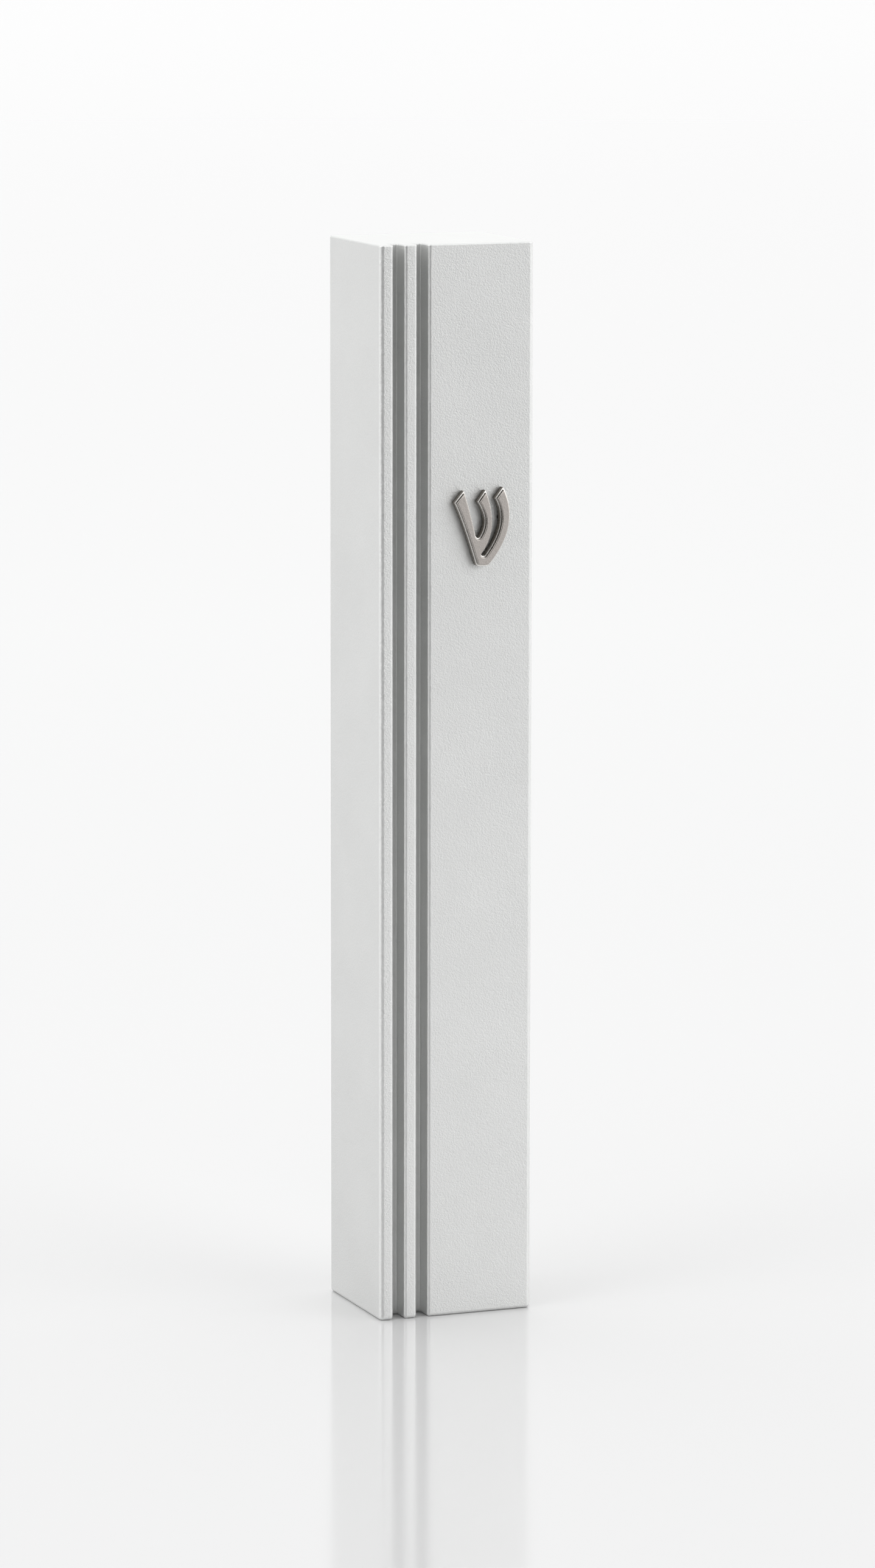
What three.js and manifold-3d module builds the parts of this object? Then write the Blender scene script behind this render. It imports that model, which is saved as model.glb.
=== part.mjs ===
// A mezuzah case for a doorpost: a slim cast aluminium case with two grooves down its front, which
// slides down over a plate screwed to the post. The plate carries the rolled parchment in its sleeve.
//
// Millimetres. +X is right as seen from the front, -Y the front, +Y the doorpost, +Z up.
// The origin is the centre of the underside of the foot, which is flush with the case's lower end.
import * as THREE from "three";
import { mergeVertices } from "three/addons/utils/BufferGeometryUtils.js";
import Module from "manifold-3d";

// ---- driving dimensions ----

const CASE_HEIGHT = 150;
const CASE_WIDTH = 22.7;
const CASE_DEPTH = 20;
const CASE_TOP_WALL = 3;
const EDGE_RADIUS = 0.7;
const FIN_EDGE_RADIUS = 0.45;
const INNER_CORNER_RADIUS = 0.2;
const END_EDGE_RADIUS = 0.4;

const FIN_WIDTHS = [2.05, 1.9];
const GROOVE_WIDTH = 1.58;
const GROOVE_DEPTH = 2.9;

const SIDE_WALL = 1.8;
const WALL_BEHIND_GROOVES = 1.6;
const WALL_BESIDE_GROOVE = 1.6;
const PANEL_WALL = 1.8;

const RIB_FRONT_Y = 4.9;
const RIB_HALF_GAP = 8.3;
const SLIDEWAY_FRONT_Y = 6.4;
const SLIDEWAY_BACK_Y = 8.3;
const SLIDEWAY_HALF_WIDTH = 9.9;
const MOUTH_HALF_WIDTH = 7.7;

const SLIDE_GAP = 0.3;
const TOUCH_GAP = 0.1;
const HOLE_GAP = 0.15;
const CUT_PAST = 1;

const PLATE_HEIGHT = 145;
const PLATE_PROUD = 0.2;
const WALL_SCREW_HEIGHTS = [27, 123];
const WALL_SCREW_HOLE_RADIUS = 2.1;
const WALL_SCREW_HEAD_RADIUS = 4.1;

const FOOT_HEIGHT = 8;
const FOOT_SCREW_X = 4.5;
const FOOT_SCREW_RADIUS = 1.25;
const FOOT_SCREW_HEAD_RADIUS = 2.35;
const FOOT_SCREW_LENGTH = 9;
const FOOT_SCREW_SLOT_DEPTH = 0.7;
const FOOT_SCREW_SLOT_WIDTH = 0.6;

const SLEEVE_RADIUS = 5.5;
const SLEEVE_WALL = 0.35;
const SLEEVE_LENGTH = 122;
const PARCHMENT_HEIGHT = 120;
const PARCHMENT_LENGTH = 120;
const PARCHMENT_THICKNESS = 0.28;
const PARCHMENT_PITCH = 0.5;
const PARCHMENT_RADIUS = 4.95;

const CLIP_HEIGHTS = { lower_scroll_clip: 48, upper_scroll_clip: 102 };
const CLIP_LENGTH = 10;
const CLIP_THICKNESS = 0.5;
const CLIP_GRIP_GAP = 0.25;
const CLIP_LIP = [0.7, -1];
const RIVET_RADIUS = 0.8;
const RIVET_HEAD_RADIUS = 1.4;
const RIVET_HEAD_HEIGHT = 0.35;

const PAD_HALF_WIDTH = 5;
const PAD_INSET = 0.3;

const LETTER_CENTRE_X = 3.3;
const LETTER_BASE_Z = 105.6;
const LETTER_THICKNESS = 1.6;
const LETTER_STEP = 0.4;
const LETTER_LEDGE = 0.18;
const LETTER_PIN_RADIUS = 0.5;
const LETTER_PIN_LENGTH = 1.5;

const ROUND_SIDES = 48;
const SMALL_ROUND_SIDES = 32;

// ---- sizes that follow from them ----

const HALF_WIDTH = CASE_WIDTH / 2;
const FRONT_Y = -CASE_DEPTH / 2;
const BACK_Y = CASE_DEPTH / 2;
const GROOVE_FLOOR_Y = FRONT_Y + GROOVE_DEPTH;
const FINS_WIDTH = FIN_WIDTHS.reduce((total, width) => total + width + GROOVE_WIDTH, 0);
const PANEL_LEFT_X = -HALF_WIDTH + FINS_WIDTH;
const CEILING_Z = CASE_HEIGHT - CASE_TOP_WALL;
const CHAMBER_HALF_WIDTH = HALF_WIDTH - SIDE_WALL;
const SHALLOW_FRONT_Y = GROOVE_FLOOR_Y + WALL_BEHIND_GROOVES;
const DEEP_FRONT_Y = FRONT_Y + PANEL_WALL;
const DEEP_LEFT_X = PANEL_LEFT_X + WALL_BESIDE_GROOVE;
const PLATE_FRONT_Y = SLIDEWAY_FRONT_Y + SLIDE_GAP;
const TONGUE_BACK_Y = SLIDEWAY_BACK_Y - SLIDE_GAP;
const PLATE_BACK_Y = BACK_Y + PLATE_PROUD;

// ---- solids ----

const wasm = await Module();
wasm.setup();

// A closed geometry as a solid that can be joined and cut.
function solid(geometry) {
  const bare = geometry.clone();
  bare.deleteAttribute("normal");
  bare.deleteAttribute("uv");
  const merged = mergeVertices(bare, 1e-4);
  const mesh = new wasm.Mesh({
    numProp: 3,
    vertProperties: merged.attributes.position.array,
    triVerts: new Uint32Array(merged.index.array),
  });
  return new wasm.Manifold(mesh);
}

function joined(solids) {
  return solids.reduce((whole, piece) => whole.add(piece));
}

function cut(whole, tools) {
  return tools.reduce((rest, tool) => rest.subtract(tool), whole);
}

// A solid as the geometry of a scene mesh.
function geometryOf(made) {
  const mesh = made.getMesh();
  const geometry = new THREE.BufferGeometry();
  geometry.setAttribute("position", new THREE.BufferAttribute(mesh.vertProperties, 3));
  geometry.setIndex(new THREE.BufferAttribute(mesh.triVerts, 1));
  geometry.computeVertexNormals();
  return geometry;
}

// ---- outlines ----

// A closed shape through corners given as {x, y, radius}; square corners get true-looking fillets.
function roundedShape(corners) {
  const FILLET = 0.5523; // the Bezier handle length that makes a quarter circle
  const shape = new THREE.Shape();
  corners.forEach((corner, i) => {
    const at = new THREE.Vector2(corner.x, corner.y);
    const before = corners.at(i - 1);
    const after = corners[(i + 1) % corners.length];
    const back = new THREE.Vector2(before.x, before.y).sub(at).normalize();
    const on = new THREE.Vector2(after.x, after.y).sub(at).normalize();
    const start = at.clone().addScaledVector(back, corner.radius);
    const end = at.clone().addScaledVector(on, corner.radius);
    const startHandle = start.clone().lerp(at, FILLET);
    const endHandle = end.clone().lerp(at, FILLET);
    if (i === 0) shape.moveTo(start.x, start.y);
    else shape.lineTo(start.x, start.y);
    shape.bezierCurveTo(startHandle.x, startHandle.y, endHandle.x, endHandle.y, end.x, end.y);
  });
  shape.closePath();
  return shape;
}

// An anticlockwise outline moved inwards by a distance, with mitred corners.
function insetOutline(points, distance) {
  return points.map((point, i) => {
    const before = point.clone().sub(points.at(i - 1)).normalize();
    const after = points[(i + 1) % points.length].clone().sub(point).normalize();
    const normal = new THREE.Vector2(-before.y - after.y, before.x + after.x);
    const mitre = distance / (1 + before.dot(after));
    return point.clone().addScaledVector(normal, mitre);
  });
}

function vectors(pairs) {
  return pairs.map(([x, y]) => new THREE.Vector2(x, y));
}

// A strip of even thickness along an open centre line, as a closed shape.
function stripShape(line, thickness) {
  const sides = line.map((point, i) => {
    const before = line[Math.max(i - 1, 0)];
    const after = line[Math.min(i + 1, line.length - 1)];
    const along = after.clone().sub(before).normalize();
    const across = new THREE.Vector2(-along.y, along.x).multiplyScalar(thickness / 2);
    return [point.clone().add(across), point.clone().sub(across)];
  });
  const left = sides.map((pair) => pair[0]);
  const right = sides.map((pair) => pair[1]);
  return new THREE.Shape([...right, ...left.reverse()]);
}

// ---- basic solids ----

// An upright prism of a shape between two heights.
function prism(shape, low, high) {
  const geometry = new THREE.ExtrudeGeometry(shape, {
    depth: high - low,
    bevelEnabled: false,
    curveSegments: 4,
  });
  return solid(geometry.translate(0, 0, low));
}

// The same, with the edges of both ends rounded inside the shape.
function roundEndedPrism(shape, low, high, radius) {
  const geometry = new THREE.ExtrudeGeometry(shape, {
    depth: high - low - 2 * radius,
    bevelThickness: radius,
    bevelSize: radius,
    bevelOffset: -radius,
    bevelSegments: 3,
    curveSegments: 3,
  });
  return solid(geometry.translate(0, 0, low + radius));
}

// A solid of revolution about a line along Y through (x, z). Its profile is [radius, y] from the
// front to the back, and starts and ends on the axis.
function turnedAlongY(profile, x, z) {
  return solid(new THREE.LatheGeometry(vectors(profile), SMALL_ROUND_SIDES).translate(x, 0, z));
}

// A plain round pin or drilled hole along Y, between two distances.
function rodAlongY(radius, frontY, backY, x, z) {
  return turnedAlongY([[0, frontY], [radius, frontY], [radius, backY], [0, backY]], x, z);
}

// A flat-ended shaft or drilled hole along Y with a countersunk head at one end.
function countersunk(shaftRadius, headRadius, tipY, headY, x, z) {
  const coneLength = headRadius - shaftRadius;
  const towardsTip = Math.sign(tipY - headY);
  const profile = [
    [0, tipY],
    [shaftRadius, tipY],
    [shaftRadius, headY + towardsTip * coneLength],
    [headRadius, headY],
    [0, headY],
  ];
  return turnedAlongY(towardsTip < 0 ? profile : profile.reverse(), x, z);
}

// A ring standing upright about the Z axis.
function uprightTube(innerRadius, outerRadius, low, high) {
  const profile = vectors([
    [innerRadius, low],
    [outerRadius, low],
    [outerRadius, high],
    [innerRadius, high],
    [innerRadius, low],
  ]);
  return solid(new THREE.LatheGeometry(profile, ROUND_SIDES).rotateX(Math.PI / 2));
}

// ---- the case ----

// The outside of the case in plan: a near-square with grooves cut into the left of its front.
function caseOutline() {
  const corners = [{ x: -HALF_WIDTH, y: FRONT_Y, radius: EDGE_RADIUS }];
  let finLeft = -HALF_WIDTH;
  for (const finWidth of FIN_WIDTHS) {
    const left = finLeft + finWidth;
    const right = left + GROOVE_WIDTH;
    corners.push({ x: left, y: FRONT_Y, radius: FIN_EDGE_RADIUS });
    corners.push({ x: left, y: GROOVE_FLOOR_Y, radius: INNER_CORNER_RADIUS });
    corners.push({ x: right, y: GROOVE_FLOOR_Y, radius: INNER_CORNER_RADIUS });
    corners.push({ x: right, y: FRONT_Y, radius: FIN_EDGE_RADIUS });
    finLeft = right;
  }
  corners.push({ x: HALF_WIDTH, y: FRONT_Y, radius: EDGE_RADIUS });
  corners.push({ x: HALF_WIDTH, y: BACK_Y, radius: EDGE_RADIUS });
  corners.push({ x: -HALF_WIDTH, y: BACK_Y, radius: EDGE_RADIUS });
  return corners;
}

// The scroll chamber in plan, up to a given back: shallow behind the grooves, deep behind the
// panel, and necked at the back by the two ribs that the plate slides against.
function chamberOutline(backY) {
  return vectors([
    [-CHAMBER_HALF_WIDTH, SHALLOW_FRONT_Y],
    [DEEP_LEFT_X, SHALLOW_FRONT_Y],
    [DEEP_LEFT_X, DEEP_FRONT_Y],
    [CHAMBER_HALF_WIDTH, DEEP_FRONT_Y],
    [CHAMBER_HALF_WIDTH, RIB_FRONT_Y],
    [RIB_HALF_GAP, RIB_FRONT_Y],
    [RIB_HALF_GAP, backY],
    [-RIB_HALF_GAP, backY],
    [-RIB_HALF_GAP, RIB_FRONT_Y],
    [-CHAMBER_HALF_WIDTH, RIB_FRONT_Y],
  ]);
}

function rectangle(halfWidth, frontY, backY) {
  const corners = [
    [-halfWidth, frontY],
    [halfWidth, frontY],
    [halfWidth, backY],
    [-halfWidth, backY],
  ];
  return new THREE.Shape(vectors(corners));
}

function caseShell() {
  const block = roundEndedPrism(roundedShape(caseOutline()), 0, CASE_HEIGHT, END_EDGE_RADIUS);
  const below = -CUT_PAST;
  const behind = BACK_Y + CUT_PAST;
  const chamber = prism(new THREE.Shape(chamberOutline(SLIDEWAY_FRONT_Y)), below, CEILING_Z);
  const slideway = prism(
    rectangle(SLIDEWAY_HALF_WIDTH, SLIDEWAY_FRONT_Y, SLIDEWAY_BACK_Y), below, CEILING_Z);
  const mouth = prism(rectangle(MOUTH_HALF_WIDTH, SLIDEWAY_BACK_Y, behind), below, CEILING_Z);
  const pinHoles = letterPinPlaces().map(([x, z]) =>
    rodAlongY(LETTER_PIN_RADIUS + HOLE_GAP, FRONT_Y - CUT_PAST, DEEP_FRONT_Y + CUT_PAST, x, z));
  return cut(block, [chamber, slideway, mouth, ...pinHoles]);
}

// ---- the letter badge ----

function letterPinPlaces() {
  return [
    [LETTER_CENTRE_X - 2.6, LETTER_BASE_Z + 7.5],
    [LETTER_CENTRE_X + 3.3, LETTER_BASE_Z + 6.6],
  ];
}

// The letter about its own base centre: three arms with slant-cut heads rise from a narrow foot,
// with a round bowl between each two.
function letterOutline() {
  const shape = new THREE.Shape();
  shape.moveTo(-0.35, 0);
  shape.lineTo(0.45, 0);
  shape.quadraticCurveTo(0.85, 0, 1.1, 0.3);
  shape.quadraticCurveTo(5.75, 5.6, 3.05, 10.8);
  shape.lineTo(1.9, 9.3);
  shape.quadraticCurveTo(3.95, 5.9, 0.45, 1.55);
  shape.bezierCurveTo(0.22, 1.26, -0.33, 1.46, -0.1, 1.75);
  shape.quadraticCurveTo(2.7, 5.2, 0.45, 10.5);
  shape.lineTo(-0.7, 8.9);
  shape.quadraticCurveTo(1.15, 6.3, -0.35, 4.1);
  shape.bezierCurveTo(-0.58, 3.77, -0.97, 3.96, -1.05, 4.35);
  shape.quadraticCurveTo(-1.7, 7.4, -2.75, 10.5);
  shape.lineTo(-4.1, 8.9);
  shape.quadraticCurveTo(-2.9, 6.6, -0.95, 0.4);
  shape.quadraticCurveTo(-0.8, 0, -0.35, 0);
  return shape.getPoints(10).slice(0, -1);
}

// The letter standing forward of the panel between two distances from it.
function letterLayer(inset, near, far) {
  const upright = new THREE.Matrix4().makeRotationX(Math.PI / 2);
  upright.setPosition(LETTER_CENTRE_X, FRONT_Y, LETTER_BASE_Z);
  const shape = new THREE.Shape(insetOutline(letterOutline(), inset));
  return prism(shape, near, far).transform(upright.elements);
}

// The letter, with its face raised a step above its edge all round.
function shinLetter() {
  const ledge = LETTER_THICKNESS - LETTER_STEP;
  const edge = letterLayer(0, TOUCH_GAP, ledge);
  const face = letterLayer(LETTER_LEDGE, LETTER_THICKNESS / 2, LETTER_THICKNESS);
  const pins = letterPinPlaces().map(([x, z]) => {
    const front = FRONT_Y - LETTER_THICKNESS / 2;
    return rodAlongY(LETTER_PIN_RADIUS, front, FRONT_Y + LETTER_PIN_LENGTH, x, z);
  });
  return joined([edge, face, ...pins]);
}

// ---- the wall plate and what it carries ----

function footScrewPlaces() {
  return [[-FOOT_SCREW_X, FOOT_HEIGHT / 2], [FOOT_SCREW_X, FOOT_HEIGHT / 2]];
}

function clipCentres() {
  return Object.values(CLIP_HEIGHTS).map((low) => low + CLIP_LENGTH / 2);
}

// A flat plate with a tongue down each side for the case, a thicker middle that stands just proud
// of the case's back, and screw holes countersunk on the scroll's side.
function wallPlate() {
  const tongueHalfWidth = SLIDEWAY_HALF_WIDTH - SLIDE_GAP;
  const middleHalfWidth = MOUTH_HALF_WIDTH - SLIDE_GAP;
  const outline = vectors([
    [-tongueHalfWidth, PLATE_FRONT_Y],
    [tongueHalfWidth, PLATE_FRONT_Y],
    [tongueHalfWidth, TONGUE_BACK_Y],
    [middleHalfWidth, TONGUE_BACK_Y],
    [middleHalfWidth, PLATE_BACK_Y],
    [-middleHalfWidth, PLATE_BACK_Y],
    [-middleHalfWidth, TONGUE_BACK_Y],
    [-tongueHalfWidth, TONGUE_BACK_Y],
  ]);
  const wallScrewHoles = WALL_SCREW_HEIGHTS.map((z) => {
    const past = PLATE_BACK_Y + CUT_PAST;
    return countersunk(WALL_SCREW_HOLE_RADIUS, WALL_SCREW_HEAD_RADIUS, past, PLATE_FRONT_Y, 0, z);
  });
  const ahead = PLATE_FRONT_Y - CUT_PAST;
  const footScrewHoles = footScrewPlaces().map(([x, z]) => countersunk(
    FOOT_SCREW_RADIUS + HOLE_GAP, FOOT_SCREW_HEAD_RADIUS + HOLE_GAP, ahead, PLATE_BACK_Y, x, z));
  const rivetHoles = clipCentres().map((z) => countersunk(
    RIVET_RADIUS + HOLE_GAP, RIVET_HEAD_RADIUS + HOLE_GAP, ahead, PLATE_BACK_Y, 0, z));
  const plate = prism(new THREE.Shape(outline), 0, PLATE_HEIGHT);
  return cut(plate, [...wallScrewHoles, ...footScrewHoles, ...rivetHoles]);
}

// The block that closes the open lower end of the case, screwed to the plate from behind.
function footBlock() {
  const back = PLATE_FRONT_Y - TOUCH_GAP;
  const outline = insetOutline(chamberOutline(back + SLIDE_GAP), SLIDE_GAP);
  const holes = footScrewPlaces().map(([x, z]) => {
    const end = PLATE_BACK_Y - FOOT_SCREW_LENGTH - CUT_PAST;
    return rodAlongY(FOOT_SCREW_RADIUS + HOLE_GAP, end, back + CUT_PAST, x, z);
  });
  return cut(prism(new THREE.Shape(outline), 0, FOOT_HEIGHT), holes);
}

function footScrew([x, z]) {
  const head = PLATE_BACK_Y - TOUCH_GAP;
  const tip = PLATE_BACK_Y - FOOT_SCREW_LENGTH;
  const screw = countersunk(FOOT_SCREW_RADIUS, FOOT_SCREW_HEAD_RADIUS, tip, head, x, z);
  const slot = new THREE.BoxGeometry(
    2 * FOOT_SCREW_HEAD_RADIUS + CUT_PAST, 2 * FOOT_SCREW_SLOT_DEPTH, FOOT_SCREW_SLOT_WIDTH);
  return screw.subtract(solid(slot.translate(x, head, z)));
}

// A strip of spring steel bent to a flat back and two arms that hug the sleeve past its middle and
// turn out at their ends.
function scrollClip(low) {
  const lineRadius = SLEEVE_RADIUS + CLIP_GRIP_GAP + CLIP_THICKNESS / 2;
  const backY = PLATE_FRONT_Y - TOUCH_GAP - CLIP_THICKNESS / 2;
  const armStart = THREE.MathUtils.degToRad(40);
  const armEnd = THREE.MathUtils.degToRad(125);
  const armSteps = 12;
  const arm = [new THREE.Vector2(lineRadius * Math.sin(armStart), backY)];
  for (let i = 0; i <= armSteps; i += 1) {
    const angle = armStart + ((armEnd - armStart) * i) / armSteps;
    arm.push(new THREE.Vector2(lineRadius * Math.sin(angle), lineRadius * Math.cos(angle)));
  }
  const lip = arm.at(-1).clone().add(new THREE.Vector2(...CLIP_LIP));
  arm.push(lip);
  const mirrored = arm.map((point) => new THREE.Vector2(-point.x, point.y)).reverse();
  const strip = prism(stripShape([...mirrored, ...arm], CLIP_THICKNESS), low, low + CLIP_LENGTH);
  const hole = rodAlongY(
    RIVET_RADIUS + HOLE_GAP, backY - CUT_PAST, backY + CUT_PAST, 0, low + CLIP_LENGTH / 2);
  return strip.subtract(hole);
}

// A flat-headed rivet through a clip's back and the plate, with its tail set into the plate's back.
function clipRivet(z) {
  const head = PLATE_FRONT_Y - TOUCH_GAP - CLIP_THICKNESS - TOUCH_GAP;
  const tail = PLATE_BACK_Y - TOUCH_GAP;
  const tailLength = RIVET_HEAD_RADIUS - RIVET_RADIUS;
  const profile = [
    [0, head - RIVET_HEAD_HEIGHT],
    [RIVET_HEAD_RADIUS, head - RIVET_HEAD_HEIGHT],
    [RIVET_HEAD_RADIUS, head],
    [RIVET_RADIUS, head],
    [RIVET_RADIUS, tail - tailLength],
    [RIVET_HEAD_RADIUS, tail],
    [0, tail],
  ];
  return turnedAlongY(profile, 0, z);
}

// The soft pad on the plate's upper end that the case's ceiling comes down on.
function stopPad() {
  const shape = rectangle(PAD_HALF_WIDTH, PLATE_FRONT_Y + PAD_INSET, BACK_Y - PAD_INSET);
  return prism(shape, PLATE_HEIGHT + TOUCH_GAP, CEILING_Z - TOUCH_GAP);
}

// ---- the scroll ----

function scrollSleeve() {
  const low = FOOT_HEIGHT + TOUCH_GAP;
  return uprightTube(SLEEVE_RADIUS - SLEEVE_WALL, SLEEVE_RADIUS, low, low + SLEEVE_LENGTH);
}

// One strip of parchment rolled into a spiral, from its loose outer end inwards.
function parchmentScroll() {
  const step = THREE.MathUtils.degToRad(15);
  const line = [];
  let angle = 0;
  let unrolled = 0;
  while (unrolled < PARCHMENT_LENGTH) {
    const turned = (PARCHMENT_PITCH * angle) / (2 * Math.PI);
    const radius = PARCHMENT_RADIUS - PARCHMENT_THICKNESS / 2 - turned;
    line.push(new THREE.Vector2(radius * Math.cos(angle), radius * Math.sin(angle)));
    unrolled += radius * step;
    angle += step;
  }
  const low = FOOT_HEIGHT + TOUCH_GAP;
  return prism(stripShape(line.reverse(), PARCHMENT_THICKNESS), low, low + PARCHMENT_HEIGHT);
}

// ---- finishes ----

function finish(color, roughness, metalness, opacity = 1) {
  const transparent = opacity < 1;
  return new THREE.MeshStandardMaterial({ color, roughness, metalness, opacity, transparent });
}

const satinAluminium = () => finish(0xd9dbda, 0.45, 0.6);
const castPewter = () => finish(0xb9b1ac, 0.32, 1);
const plateAluminium = () => finish(0xc3c6c8, 0.4, 1);
const screwSteel = () => finish(0x9a9c9e, 0.3, 1);
const springSteel = () => finish(0xaeb2b6, 0.28, 1);
const footPlastic = () => finish(0xc9cbcb, 0.55, 0);
const padRubber = () => finish(0x3a3b3c, 0.85, 0);
const clearPlastic = () => finish(0xeef2f4, 0.1, 0, 0.35);
const parchmentSkin = () => finish(0xe6d9b8, 0.8, 0);

// ---- assembly ----

const assembly = new THREE.Group();

function place(group, name, made, material) {
  const mesh = new THREE.Mesh(geometryOf(made), material);
  mesh.name = name;
  group.add(mesh);
}

const slidingCase = new THREE.Group();
place(slidingCase, "case_shell", caseShell(), satinAluminium());
place(slidingCase, "shin_letter", shinLetter(), castPewter());
assembly.add(slidingCase);

const fixedPlate = new THREE.Group();
place(fixedPlate, "wall_plate", wallPlate(), plateAluminium());
place(fixedPlate, "foot_block", footBlock(), footPlastic());
["foot_screw_left", "foot_screw_right"].forEach((name, i) => {
  place(fixedPlate, name, footScrew(footScrewPlaces()[i]), screwSteel());
});
Object.entries(CLIP_HEIGHTS).forEach(([name, low], i) => {
  place(fixedPlate, name, scrollClip(low), springSteel());
  place(fixedPlate, name.replace("scroll_clip", "clip_rivet"), clipRivet(clipCentres()[i]), screwSteel());
});
place(fixedPlate, "stop_pad", stopPad(), padRubber());
assembly.add(fixedPlate);

const scroll = new THREE.Group();
place(scroll, "scroll_sleeve", scrollSleeve(), clearPlastic());
place(scroll, "parchment_scroll", parchmentScroll(), parchmentSkin());
assembly.add(scroll);

export default assembly;
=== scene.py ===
import math

import bmesh
import bpy
from mathutils import Matrix, Vector


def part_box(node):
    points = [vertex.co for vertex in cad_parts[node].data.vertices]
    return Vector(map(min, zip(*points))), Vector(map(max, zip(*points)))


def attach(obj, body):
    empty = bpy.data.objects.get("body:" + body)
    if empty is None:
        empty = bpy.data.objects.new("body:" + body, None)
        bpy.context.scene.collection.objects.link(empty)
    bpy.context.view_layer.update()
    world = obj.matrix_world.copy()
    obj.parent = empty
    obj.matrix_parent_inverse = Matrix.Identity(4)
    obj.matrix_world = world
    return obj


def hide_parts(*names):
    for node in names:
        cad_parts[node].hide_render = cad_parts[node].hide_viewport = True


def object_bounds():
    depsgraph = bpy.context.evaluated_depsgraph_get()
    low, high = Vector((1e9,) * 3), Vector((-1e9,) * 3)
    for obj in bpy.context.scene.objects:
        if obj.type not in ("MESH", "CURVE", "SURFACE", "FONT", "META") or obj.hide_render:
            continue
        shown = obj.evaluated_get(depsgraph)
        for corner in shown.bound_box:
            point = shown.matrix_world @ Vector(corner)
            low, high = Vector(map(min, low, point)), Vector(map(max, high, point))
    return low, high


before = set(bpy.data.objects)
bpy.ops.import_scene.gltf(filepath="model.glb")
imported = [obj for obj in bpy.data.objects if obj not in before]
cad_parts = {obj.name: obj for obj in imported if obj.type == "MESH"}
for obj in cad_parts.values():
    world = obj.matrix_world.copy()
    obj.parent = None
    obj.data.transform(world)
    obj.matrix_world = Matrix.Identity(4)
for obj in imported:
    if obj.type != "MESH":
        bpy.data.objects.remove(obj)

# A mezuzah case standing on a glossy white table. Everything is in metres in the CAD's frame; the
# pieces are worked in millimetres and brought to metres as they are finished.

MM = 0.001
cad_low, cad_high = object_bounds()

# ---------------------------------------------------------------- camera

CAMERA_PLACE = Vector((-0.3267, -0.8386, 0.2170))
CAMERA_YAW = math.radians(21.3485)     # to the right of +Y
CAMERA_PITCH = math.radians(9.042)     # down from level
CAMERA_ROLL = math.radians(0.0763)
CAMERA_LENS = 149.70


def make_camera():
    data = bpy.data.cameras.new("camera")
    data.lens = CAMERA_LENS
    data.sensor_width = 36
    data.clip_start = 0.01
    data.clip_end = 100
    camera = bpy.data.objects.new("camera", data)
    bpy.context.scene.collection.objects.link(camera)
    level = Matrix.Rotation(math.radians(90), 4, "X")
    pitch = Matrix.Rotation(-CAMERA_PITCH, 4, "X")
    yaw = Matrix.Rotation(-CAMERA_YAW, 4, "Z")
    roll = Matrix.Rotation(CAMERA_ROLL, 4, "Z")
    camera.matrix_world = Matrix.Translation(CAMERA_PLACE) @ yaw @ pitch @ level @ roll
    bpy.context.scene.camera = camera


# ---------------------------------------------------------------- directions

def direction(azimuth, elevation):
    """A unit vector. Azimuths are in degrees clockwise from +Y; the camera is towards 201."""
    turn, rise = math.radians(azimuth), math.radians(elevation)
    level = math.cos(rise)
    return Vector((math.sin(turn) * level, math.cos(turn) * level, math.sin(rise)))


# ---------------------------------------------------------------- node helpers

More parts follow.
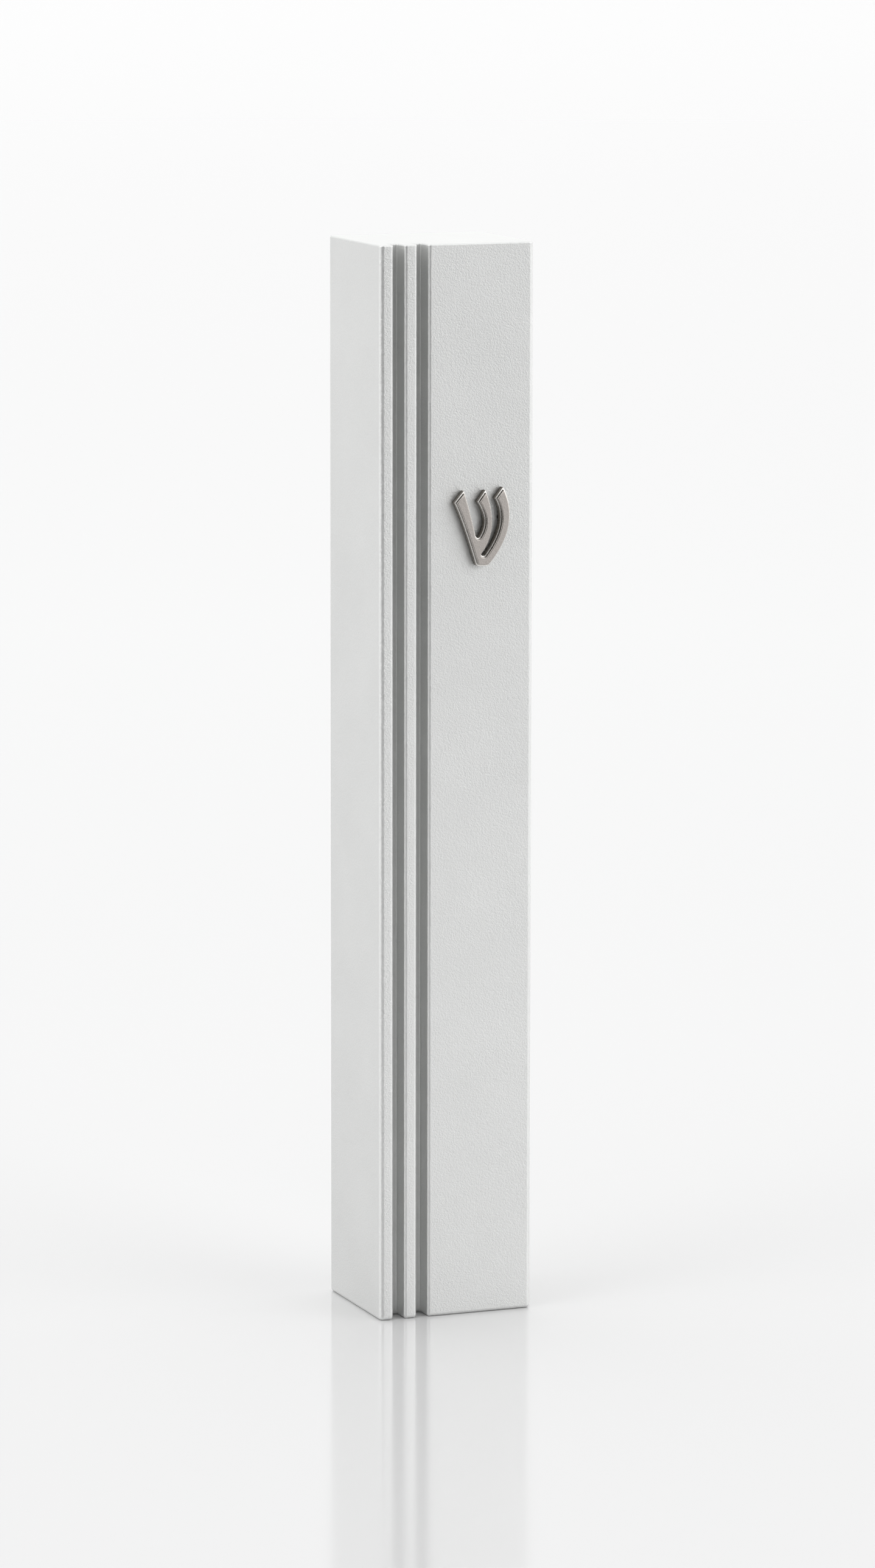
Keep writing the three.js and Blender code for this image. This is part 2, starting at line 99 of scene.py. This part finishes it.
class Shader:
    """A material's node tree, with its Principled shader and short ways to add to it."""

    def __init__(self, name):
        self.material = bpy.data.materials.new(name)
        self.material.use_nodes = True
        self.tree = self.material.node_tree
        self.principled = self.tree.nodes["Principled BSDF"]
        self.place = self.tree.nodes.new("ShaderNodeTexCoord").outputs["Object"]

    def set(self, **values):
        for name, value in values.items():
            self.principled.inputs[name.replace("_", " ")].default_value = value

    def feed(self, name, output):
        self.tree.links.new(output, self.principled.inputs[name])

    def add(self, kind, inputs=None, **settings):
        node = self.tree.nodes.new(kind)
        for name, value in settings.items():
            setattr(node, name, value)
        for name, value in (inputs or {}).items():
            if isinstance(value, bpy.types.NodeSocket):
                self.tree.links.new(value, node.inputs[name])
            else:
                node.inputs[name].default_value = value
        return node

    def noise(self, size, detail=2.0, roughness=0.5, stretch=(1, 1, 1)):
        """Noise whose grains are about size metres across, stretched along the axes."""
        mapping = self.add("ShaderNodeMapping", {"Vector": self.place, "Scale": stretch})
        texture = self.add("ShaderNodeTexNoise", {
            "Vector": mapping.outputs["Vector"],
            "Scale": 1 / size,
            "Detail": detail,
            "Roughness": roughness,
        })
        return texture.outputs["Fac"]

    def span(self, value, low, high, from_low=0.3, from_high=0.7):
        """A noise value brought to the range low to high."""
        node = self.add("ShaderNodeMapRange", {
            "Value": value,
            "From Min": from_low,
            "From Max": from_high,
            "To Min": low,
            "To Max": high,
        })
        return node.outputs["Result"]

    def sum(self, *values):
        total = values[0]
        for value in values[1:]:
            total = self.add("ShaderNodeMath", {0: total, 1: value}, operation="ADD").outputs[0]
        return total

    def tint(self, value, dark, light):
        """A colour between dark and light as value goes from 0 to 1."""
        mix = self.add("ShaderNodeMix", data_type="RGBA")
        self.tree.links.new(value, mix.inputs["Factor"])
        mix.inputs["A"].default_value = (*dark, 1)
        mix.inputs["B"].default_value = (*light, 1)
        return next(s for s in mix.outputs if s.type == "RGBA")

    def ramp(self, value, *stops):
        """A colour from stops of (place, colour) as value goes from 0 to 1."""
        node = self.add("ShaderNodeValToRGB", {"Fac": value})
        points = node.color_ramp.elements
        while len(points) < len(stops):
            points.new(0.5)
        for point, (place, colour) in zip(points, stops):
            point.position = place
            point.color = (*colour, 1)
        return node.outputs["Color"]

    def bump(self, height, distance, normal=None):
        """Height in units of distance, in metres, as a normal."""
        inputs = {"Height": height, "Distance": distance, "Strength": 1.0}
        if normal is not None:
            inputs["Normal"] = normal
        return self.add("ShaderNodeBump", inputs).outputs["Normal"]


# ---------------------------------------------------------------- materials

def blasted_metal():
    """Pale silver satin: an even fine orange-peel grain, with faint cloudiness."""
    s = Shader("blasted_metal")
    s.set(Metallic=1.0)
    grain = s.noise(0.00024, detail=2.0)
    fine = s.noise(0.00012, detail=1.0)
    cloud = s.noise(0.012, detail=2.0)
    value = s.sum(s.span(grain, -0.3, 0.3), s.span(cloud, 0.3, 0.7))
    s.feed("Base Color", s.tint(value, (0.765, 0.77, 0.762), (0.825, 0.83, 0.822)))
    s.feed("Roughness", s.span(grain, 0.46, 0.56))
    coarse_normal = s.bump(grain, 0.00003)
    s.feed("Normal", s.bump(fine, 0.000008, coarse_normal))
    return s.material


def cast_nickel(panel_y, thickness):
    """Warm grey cast metal, standing forward of panel_y, with light and shade painted into its colour by
    height: painted shade on the walls and the step, painted highlights on the ledge and the face's edge.
    """
    s = Shader("cast_nickel")
    s.set(Metallic=1.0)
    grain = s.noise(0.00025, detail=3.0)
    cloud = s.noise(0.0012, detail=3.0)
    forward = s.add("ShaderNodeSeparateXYZ", {"Vector": s.place}).outputs["Y"]
    height = s.span(forward, 0, 1, from_low=panel_y, from_high=panel_y - thickness)
    height_for_painted_light = s.sum(height, s.span(cloud, -0.02, 0.02))
    # Painted light by height above the panel: painted shade down the outer walls, darkest at their foot,
    # and on the step up to the face; painted highlights on the ledge and on the face's rounded edge.
    s.feed("Base Color", s.ramp(
        height_for_painted_light,
        (0.15, (0.12, 0.105, 0.085)),
        (0.60, (0.33, 0.30, 0.265)),
        (0.70, (0.84, 0.82, 0.79)),
        (0.76, (0.80, 0.78, 0.75)),
        (0.80, (0.16, 0.145, 0.125)),
        (0.88, (0.24, 0.22, 0.20)),
        (0.93, (0.62, 0.59, 0.56)),
        (0.97, (0.45, 0.42, 0.395)),
    ))
    s.feed("Roughness", s.span(grain, 0.20, 0.30))
    s.feed("Normal", s.bump(grain, 0.000008))
    return s.material


def drawn_aluminium():
    """Plate stock with fine drawing lines along its length."""
    s = Shader("drawn_aluminium")
    s.set(Metallic=1.0)
    lines = s.noise(0.0002, detail=3.0, stretch=(1, 1, 0.01))
    cloud = s.noise(0.015)
    s.feed("Base Color", s.tint(s.span(cloud, 0, 1), (0.60, 0.61, 0.62), (0.70, 0.71, 0.72)))
    s.feed("Roughness", s.span(lines, 0.30, 0.45))
    s.feed("Normal", s.bump(lines, 0.000008))
    return s.material


def plated_steel():
    s = Shader("plated_steel")
    s.set(Metallic=1.0)
    grain = s.noise(0.0003, detail=3.0)
    s.feed("Base Color", s.tint(s.span(grain, 0, 1), (0.53, 0.54, 0.55), (0.58, 0.58, 0.59)))
    s.feed("Roughness", s.span(grain, 0.25, 0.38))
    s.feed("Normal", s.bump(grain, 0.00001))
    return s.material


def spring_strip():
    s = Shader("spring_strip")
    s.set(Metallic=1.0)
    lines = s.noise(0.00015, detail=2.0, stretch=(1, 1, 0.03))
    s.feed("Base Color", s.tint(s.span(lines, 0, 1), (0.54, 0.56, 0.59), (0.66, 0.68, 0.71)))
    s.feed("Roughness", s.span(lines, 0.18, 0.30))
    s.feed("Normal", s.bump(lines, 0.000005))
    return s.material


def moulded_grey():
    s = Shader("moulded_grey")
    grain = s.noise(0.0004, detail=3.0)
    s.feed("Base Color", s.tint(s.span(grain, 0, 1), (0.50, 0.51, 0.51), (0.56, 0.57, 0.57)))
    s.feed("Roughness", s.span(grain, 0.45, 0.6))
    s.feed("Normal", s.bump(grain, 0.00002))
    return s.material


def pad_rubber():
    s = Shader("pad_rubber")
    grain = s.noise(0.0005, detail=4.0)
    s.feed("Base Color", s.tint(s.span(grain, 0, 1), (0.03, 0.03, 0.03), (0.06, 0.06, 0.06)))
    s.feed("Roughness", s.span(grain, 0.7, 0.9))
    s.feed("Normal", s.bump(grain, 0.00003))
    return s.material


def clear_film():
    s = Shader("clear_film")
    s.set(Transmission_Weight=1.0, IOR=1.49, Alpha=0.35)
    s.principled.inputs["Base Color"].default_value = (0.97, 0.98, 0.985, 1)
    haze = s.noise(0.004, detail=3.0)
    s.feed("Roughness", s.span(haze, 0.03, 0.12))
    s.feed("Normal", s.bump(haze, 0.00002))
    return s.material


def parchment():
    """Blank skin: cream with darker mottling, follicle grain and matt waxy surface."""
    s = Shader("parchment")
    mottle = s.noise(0.006, detail=4.0)
    grain = s.noise(0.0004, detail=3.0)
    value = s.sum(s.span(mottle, 0, 0.8), s.span(grain, 0, 0.2))
    s.feed("Base Color", s.tint(value, (0.62, 0.47, 0.27), (0.83, 0.73, 0.53)))
    s.feed("Roughness", s.span(grain, 0.55, 0.75))
    s.feed("Normal", s.bump(grain, 0.00002))
    return s.material


SHADE_TOWARDS = 195              # azimuth in which the floor's colour falls away into painted shade
SHADE_START = 0.15               # metres from the object, beyond the picture's lower edge
SHADE_FULL = 0.50


def acrylic_floor():
    """A glossy white sheet, lit round the object, its colour darkened further off on the camera's side as
    painted shade.
    """
    s = Shader("acrylic_floor")
    s.set(Roughness=0.10, IOR=1.5)
    inputs = {0: s.place, 1: direction(SHADE_TOWARDS, 0)}
    ahead = s.add("ShaderNodeVectorMath", inputs, operation="DOT_PRODUCT").outputs["Value"]
    shade = s.add("ShaderNodeMapRange", {
        "Value": ahead,
        "From Min": SHADE_START,
        "From Max": SHADE_FULL,
    }, interpolation_type="SMOOTHSTEP").outputs["Result"]
    # Painted shade: the floor's colour darkens from pale to near black beyond SHADE_START.
    s.feed("Base Color", s.tint(shade, (0.68, 0.68, 0.682), (0.10, 0.10, 0.10)))
    return s.material


# ---------------------------------------------------------------- pieces

def welded(node):
    """A CAD node's mesh in millimetres, its split corners joined and its flat faces made whole."""
    bm = bmesh.new()
    bm.from_mesh(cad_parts[node].data)
    bmesh.ops.scale(bm, vec=(1 / MM, 1 / MM, 1 / MM), verts=bm.verts)
    bmesh.ops.remove_doubles(bm, verts=bm.verts, dist=0.002)
    bmesh.ops.dissolve_limit(bm, angle_limit=math.radians(0.3), verts=bm.verts, edges=bm.edges)
    return bm


def piece_from(bm, name, body, slot, material, stands_for, edge=0.08, sharp=40):
    """A finished piece from a mesh in millimetres: its hard edges are eased by edge."""
    mesh = bpy.data.meshes.new(name)
    bm.to_mesh(mesh)
    bm.free()
    piece = bpy.data.objects.new(name, mesh)
    bpy.context.scene.collection.objects.link(piece)
    if edge:
        ease = piece.modifiers.new("ease", "BEVEL")
        ease.width = edge
        ease.segments = 3
        ease.limit_method = "ANGLE"
        ease.angle_limit = math.radians(sharp)
        ease.use_clamp_overlap = False
        ease.miter_outer = "MITER_ARC"
    evaluated = piece.evaluated_get(bpy.context.evaluated_depsgraph_get())
    final = bpy.data.meshes.new_from_object(evaluated)
    piece.modifiers.clear()
    piece.data = final
    bpy.data.meshes.remove(mesh)
    final.name = name
    final.transform(Matrix.Scale(MM, 4))
    final.shade_smooth()
    final.set_sharp_from_angle(angle=math.radians(sharp))
    final.materials.clear()
    final.materials.append(material)
    piece.modifiers.new("flat_faces", "WEIGHTED_NORMAL").keep_sharp = True
    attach(piece, body)
    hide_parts(*stands_for)
    return piece


def refined(node, body, slot, material, **options):
    return piece_from(welded(node), node + "_piece", body, slot, material, [node], **options)


# ---------------------------------------------------------------- the case

EDGE_RADIUS = 0.7
FIN_EDGE_RADIUS = 0.45
GROOVE_CORNER_RADIUS = 0.2
TOP_EDGE_RADIUS = 0.26
BOTTOM_EDGE_RADIUS = 0.5
FIN_WIDTHS = (2.05, 1.9)
GROOVE_WIDTH = 1.58
GROOVE_DEPTH = 2.9
TOP_WALL = 3.0
CHAMBER_CORNER_RADIUS = 0.25
PIN_HOLE_RADIUS = 0.65
ROUNDING_STEPS = 6

# The chamber, the ribs, the slideway and the open back in plan, for the right half from the back.
CHAMBER_RIGHT = ((7.7, 11), (7.7, 8.3), (9.9, 8.3), (9.9, 6.4), (8.3, 6.4), (8.3, 4.9), (9.55, 4.9))
CHAMBER_FRONT_Y = -8.2
BEHIND_GROOVES = (-2.64, -5.5)


def quarter_turns(steps):
    """Angles from nothing to a quarter turn, in equal steps."""
    return [math.pi / 2 * step / steps for step in range(steps + 1)]


def plan_ring(corners, z, inset=0.0, segments=10):
    """Points at height z round a plan of square corners (x, y, radius), moved inwards by inset."""
    ring = []
    for i, (x, y, radius) in enumerate(corners):
        here = Vector((x, y))
        before = (Vector(corners[i - 1][:2]) - here).normalized()
        after = (Vector(corners[(i + 1) % len(corners)][:2]) - here).normalized()
        convex = after.cross(before) > 0
        inwards = before + after if convex else -(before + after)
        bend = max(radius - inset if convex else radius + inset, 0.015)
        centre = here + inwards * inset + (before + after) * bend
        for turn in quarter_turns(segments):
            point = centre - (after * math.cos(turn) + before * math.sin(turn)) * bend
            ring.append((point.x, point.y, z))
    return ring


def skinned(rings):
    """A closed solid through rings of equally many points, flat at both ends."""
    bm = bmesh.new()
    levels = [[bm.verts.new(point) for point in ring] for ring in rings]
    for low, high in zip(levels, levels[1:]):
        for i in range(len(low)):
            j = (i + 1) % len(low)
            bm.faces.new((low[i], low[j], high[j], high[i]))
    bm.faces.new(reversed(levels[0]))
    bm.faces.new(levels[-1])
    return bm


def combined(bm, others, operation):
    """A solid with other solids taken from it (DIFFERENCE) or joined to it (UNION)."""
    objects = []
    for shape in (bm, *others):
        mesh = bpy.data.meshes.new("working")
        shape.to_mesh(mesh)
        shape.free()
        objects.append(bpy.data.objects.new("working", mesh))
        bpy.context.scene.collection.objects.link(objects[-1])
    for other in objects[1:]:
        step = objects[0].modifiers.new("step", "BOOLEAN")
        step.operation = operation
        step.solver = "EXACT"
        step.object = other
    result = bmesh.new()
    result.from_object(objects[0], bpy.context.evaluated_depsgraph_get())
    for item in objects:
        mesh = item.data
        bpy.data.objects.remove(item)
        bpy.data.meshes.remove(mesh)
    bmesh.ops.remove_doubles(result, verts=result.verts, dist=0.001)
    return result


def rod_along_y(radius, front_y, back_y, x, z):
    rod = bmesh.new()
    middle = Matrix.Translation((x, (front_y + back_y) / 2, z))
    bmesh.ops.create_cone(
        rod, cap_ends=True, segments=32, radius1=radius, radius2=radius, depth=back_y - front_y,
        matrix=middle @ Matrix.Rotation(math.radians(90), 4, "X"))
    return rod


def case_solid():
    """The case in millimetres: grooved outside with eased edges, chamber and pin holes cut out."""
    low, high = (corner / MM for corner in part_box("case_shell"))
    corners = [(low.x, low.y, EDGE_RADIUS)]
    fin_left = low.x
    for width in FIN_WIDTHS:
        left = fin_left + width
        right = left + GROOVE_WIDTH
        floor = low.y + GROOVE_DEPTH
        corners.append((left, low.y, FIN_EDGE_RADIUS))
        corners.append((left, floor, GROOVE_CORNER_RADIUS))
        corners.append((right, floor, GROOVE_CORNER_RADIUS))
        corners.append((right, low.y, FIN_EDGE_RADIUS))
        fin_left = right
    corners.append((high.x, low.y, EDGE_RADIUS))
    corners.append((high.x, high.y, EDGE_RADIUS))
    corners.append((low.x, high.y, EDGE_RADIUS))

    rings = []
    turns = quarter_turns(ROUNDING_STEPS)
    for turn in turns:
        inset = BOTTOM_EDGE_RADIUS * (1 - math.sin(turn))
        rings.append(plan_ring(corners, low.z + BOTTOM_EDGE_RADIUS * (1 - math.cos(turn)), inset))
    for turn in turns:
        inset = TOP_EDGE_RADIUS * (1 - math.cos(turn))
        rings.append(plan_ring(corners, high.z - TOP_EDGE_RADIUS * (1 - math.sin(turn)), inset))

    step_x, step_y = BEHIND_GROOVES
    side = CHAMBER_RIGHT[-1][0]
    mirrored = [(-x, y) for x, y in CHAMBER_RIGHT]
    plan = [(-side, step_y), (step_x, step_y), (step_x, CHAMBER_FRONT_Y), (side, CHAMBER_FRONT_Y)]
    plan += [*reversed(CHAMBER_RIGHT), *mirrored]
    chamber = [(x, y, CHAMBER_CORNER_RADIUS) for x, y in plan]
    ceiling = high.z - TOP_WALL
    cutters = [skinned([plan_ring(chamber, z, segments=4) for z in (low.z - 1, ceiling)])]
    cutters += [rod_along_y(PIN_HOLE_RADIUS, low.y - 1, low.y + 3, x, z) for x, z in PIN_PLACES]
    return combined(skinned(rings), cutters, "DIFFERENCE")


# ---------------------------------------------------------------- the letter

LETTER_THICKNESS = 1.6
LETTER_STEP = 0.4
LETTER_LEDGE = 0.18
LETTER_EDGE_RADIUS = 0.14
LETTER_ROUNDING_STEPS = 4
LETTER_BACK_GAP = 0.1
LETTER_FOOT = (3.3, 105.6)       # x and z of the middle of its foot
PIN_RADIUS = 0.5
PIN_LENGTH = 1.5
PIN_PLACES = ((0.7, 113.1), (6.6, 112.2))

# The letter's outline about its foot, anticlockwise from the front: each stretch is the end of a
# line, or the handles and end of a curve.
LETTER_START = (-0.35, 0)
LETTER_OUTLINE = (
    ((0.45, 0),),
    ((0.85, 0), (1.1, 0.3)),
    ((5.75, 5.6), (3.05, 10.8)),
    ((1.9, 9.3),),
    ((3.95, 5.9), (0.45, 1.55)),
    ((0.22, 1.26), (-0.33, 1.46), (-0.1, 1.75)),
    ((2.7, 5.2), (0.45, 10.5)),
    ((-0.7, 8.9),),
    ((1.15, 6.3), (-0.35, 4.1)),
    ((-0.58, 3.77), (-0.97, 3.96), (-1.05, 4.35)),
    ((-1.7, 7.4), (-2.75, 10.5)),
    ((-4.1, 8.9),),
    ((-2.9, 6.6), (-0.95, 0.4)),
    ((-0.8, 0), (-0.35, 0)),
)


def curve_points(handles, count):
    """Points along a Bezier curve of any degree, its start left out."""
    points = []
    for i in range(1, count + 1):
        level = [Vector(handle) for handle in handles]
        while len(level) > 1:
            level = [a.lerp(b, i / count) for a, b in zip(level, level[1:])]
        points.append(level[0])
    return points


def letter_outline():
    points = [Vector(LETTER_START)]
    for stretch in LETTER_OUTLINE:
        count = 1 if len(stretch) == 1 else 20
        points += curve_points((points[-1], *stretch), count)
    return points[:-1]


def inset_outline(points, distance):
    """An anticlockwise outline moved inwards, with what would overlap at its sharp tips gathered."""
    count = len(points)
    moved, sharp = [], []
    for i, here in enumerate(points):
        before = (here - points[i - 1]).normalized()
        after = (points[(i + 1) % count] - here).normalized()
        normal = Vector((-before.y - after.y, before.x + after.x))
        moved.append(here + normal * distance / (1 + before.dot(after)))
        if before.dot(after) < 0.7:
            sharp.append(i)

    def clearance(spot):
        best = math.inf
        for a, b in zip(points, points[1:] + points[:1]):
            along = b - a
            part = min(max((spot - a).dot(along) / along.length_squared, 0), 1)
            best = min(best, (spot - a - along * part).length)
        return best

    tight = [i not in sharp and clearance(moved[i]) < 0.97 * distance for i in range(count)]
    return [
        moved[min(sharp, key=lambda k: min((i - k) % count, (k - i) % count))] if tight[i] else spot
        for i, spot in enumerate(moved)
    ]


def letter_solid():
    """The letter in millimetres: eased edges, a ledge all round and a raised face, on two pins."""
    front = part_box("case_shell")[0].y / MM
    outline = letter_outline()
    ledge = LETTER_THICKNESS - LETTER_STEP
    radius = LETTER_EDGE_RADIUS
    top = LETTER_THICKNESS
    levels = [(0.0, LETTER_BACK_GAP)]
    for turn in quarter_turns(LETTER_ROUNDING_STEPS):
        levels.append((radius / 2 * (1 - math.cos(turn)), ledge - radius / 2 * (1 - math.sin(turn))))
    levels.append((LETTER_LEDGE, ledge))
    for turn in quarter_turns(LETTER_ROUNDING_STEPS):
        levels.append((LETTER_LEDGE + radius * (1 - math.cos(turn)), top - radius * (1 - math.sin(turn))))
    foot_x, foot_z = LETTER_FOOT
    rings = []
    for inset, out in levels:
        ring = inset_outline(outline, inset) if inset else outline
        rings.append([(foot_x + spot.x, front - out, foot_z + spot.y) for spot in ring])
    bm = skinned(rings)
    bmesh.ops.remove_doubles(bm, verts=bm.verts, dist=0.0005)
    back = front + PIN_LENGTH
    pins = [rod_along_y(PIN_RADIUS, front - LETTER_THICKNESS / 2, back, x, z) for x, z in PIN_PLACES]
    return combined(bm, pins, "UNION")


# ---------------------------------------------------------------- stage

FLOOR_RADIUS = 12

STUDIO_WHITE = 0.97
STUDIO_DIM = 0.04
DIM_ZONE = (203, 24, 44)         # azimuth of its middle, half width fully dim, half width in all

# Soft glows in the studio: azimuth, elevation, half width of full glow, half width in all, glow.
GLOWS = (
    (20, 45, 30, 46, 0.20),      # high behind
    (330, 5, 15, 55, 0.02),      # behind, to the left
    (262, 16, 8, 38, 0.84),      # left
    (138, 20, 10, 36, 1.12),     # in front, to the right
    (228, 52, 14, 34, 1.10),     # high in front
    (82, 12, 5, 20, 1.10),       # right
)

OVERHEAD_HEIGHT = 1.6
OVERHEAD_SIZE = 1.5
OVERHEAD_POWER = 1.5


def make_stage(material):
    mesh = bpy.data.meshes.new("floor")
    bm = bmesh.new()
    bmesh.ops.create_circle(bm, cap_ends=True, segments=96, radius=FLOOR_RADIUS)
    bm.to_mesh(mesh)
    bm.free()
    mesh.materials.append(material)
    floor = bpy.data.objects.new("floor", mesh)
    bpy.context.scene.collection.objects.link(floor)
    floor.location.z = cad_low.z


def make_overhead():
    data = bpy.data.lights.new("overhead_box", "AREA")
    data.shape = "SQUARE"
    data.size = OVERHEAD_SIZE
    data.energy = OVERHEAD_POWER
    lamp = bpy.data.objects.new("overhead_box", data)
    bpy.context.scene.collection.objects.link(lamp)
    lamp.location = (0, 0, OVERHEAD_HEIGHT)


def make_light():
    """A white studio, dim round the camera, with soft glows and a large box overhead."""
    scene = bpy.context.scene
    scene.view_settings.view_transform = "Standard"
    world = bpy.data.worlds.new("studio")
    scene.world = world
    world.use_nodes = True
    tree = world.node_tree
    nodes, links = tree.nodes, tree.links
    facing = nodes.new("ShaderNodeTexCoord").outputs["Generated"]
    level = nodes.new("ShaderNodeVectorMath")
    level.operation = "MULTIPLY"
    level.inputs[1].default_value = (1, 1, 0)
    links.new(facing, level.inputs[0])
    heading = nodes.new("ShaderNodeVectorMath")
    heading.operation = "NORMALIZE"
    links.new(level.outputs[0], heading.inputs[0])

    def zone(towards, middle, inner, outer, outside, inside):
        match = nodes.new("ShaderNodeVectorMath")
        match.operation = "DOT_PRODUCT"
        links.new(towards, match.inputs[0])
        match.inputs[1].default_value = middle
        ramp = nodes.new("ShaderNodeMapRange")
        ramp.interpolation_type = "SMOOTHSTEP"
        links.new(match.outputs["Value"], ramp.inputs["Value"])
        ramp.inputs["From Min"].default_value = math.cos(math.radians(outer))
        ramp.inputs["From Max"].default_value = math.cos(math.radians(inner))
        ramp.inputs["To Min"].default_value = outside
        ramp.inputs["To Max"].default_value = inside
        return ramp.outputs["Result"]

    azimuth, inner, outer = DIM_ZONE
    total = zone(heading.outputs[0], direction(azimuth, 0), inner, outer, STUDIO_WHITE, STUDIO_DIM)
    for azimuth, elevation, inner, outer, glow in GLOWS:
        add = nodes.new("ShaderNodeMath")
        add.operation = "ADD"
        links.new(total, add.inputs[0])
        links.new(zone(facing, direction(azimuth, elevation), inner, outer, 0.0, glow), add.inputs[1])
        total = add.outputs[0]
    background = nodes["Background"]
    background.inputs["Color"].default_value = (1.0, 1.0, 1.0, 1)
    links.new(total, background.inputs["Strength"])
    make_overhead()


# ---------------------------------------------------------------- assembly

make_camera()
make_stage(acrylic_floor())
make_light()

steel = plated_steel()
strip = spring_strip()

piece_from(
    case_solid(), "case_shell_piece", "case", "case_metal", blasted_metal(), ["case_shell"], edge=0.1)
nickel = cast_nickel(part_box("case_shell")[0].y, LETTER_THICKNESS * MM)
piece_from(
    letter_solid(), "shin_letter_piece", "case", "letter_metal", nickel, ["shin_letter"], edge=0, sharp=35)
refined("wall_plate", "plate_assembly", "plate_metal", drawn_aluminium(), edge=0.15)
refined("foot_block", "plate_assembly", "foot_plastic", moulded_grey(), edge=0.2)
for side in ("left", "right"):
    refined("foot_screw_" + side, "plate_assembly", "screw_steel", steel, edge=0.06)
for level in ("lower", "upper"):
    refined(level + "_scroll_clip", "plate_assembly", "spring_steel", strip, edge=0.1)
    refined(level + "_clip_rivet", "plate_assembly", "screw_steel", steel, edge=0.08)
refined("stop_pad", "plate_assembly", "pad_rubber", pad_rubber(), edge=0.2)
refined("scroll_sleeve", "sleeve", "clear_plastic", clear_film(), edge=0.05)
refined("parchment_scroll", "scroll", "parchment", parchment(), edge=0)
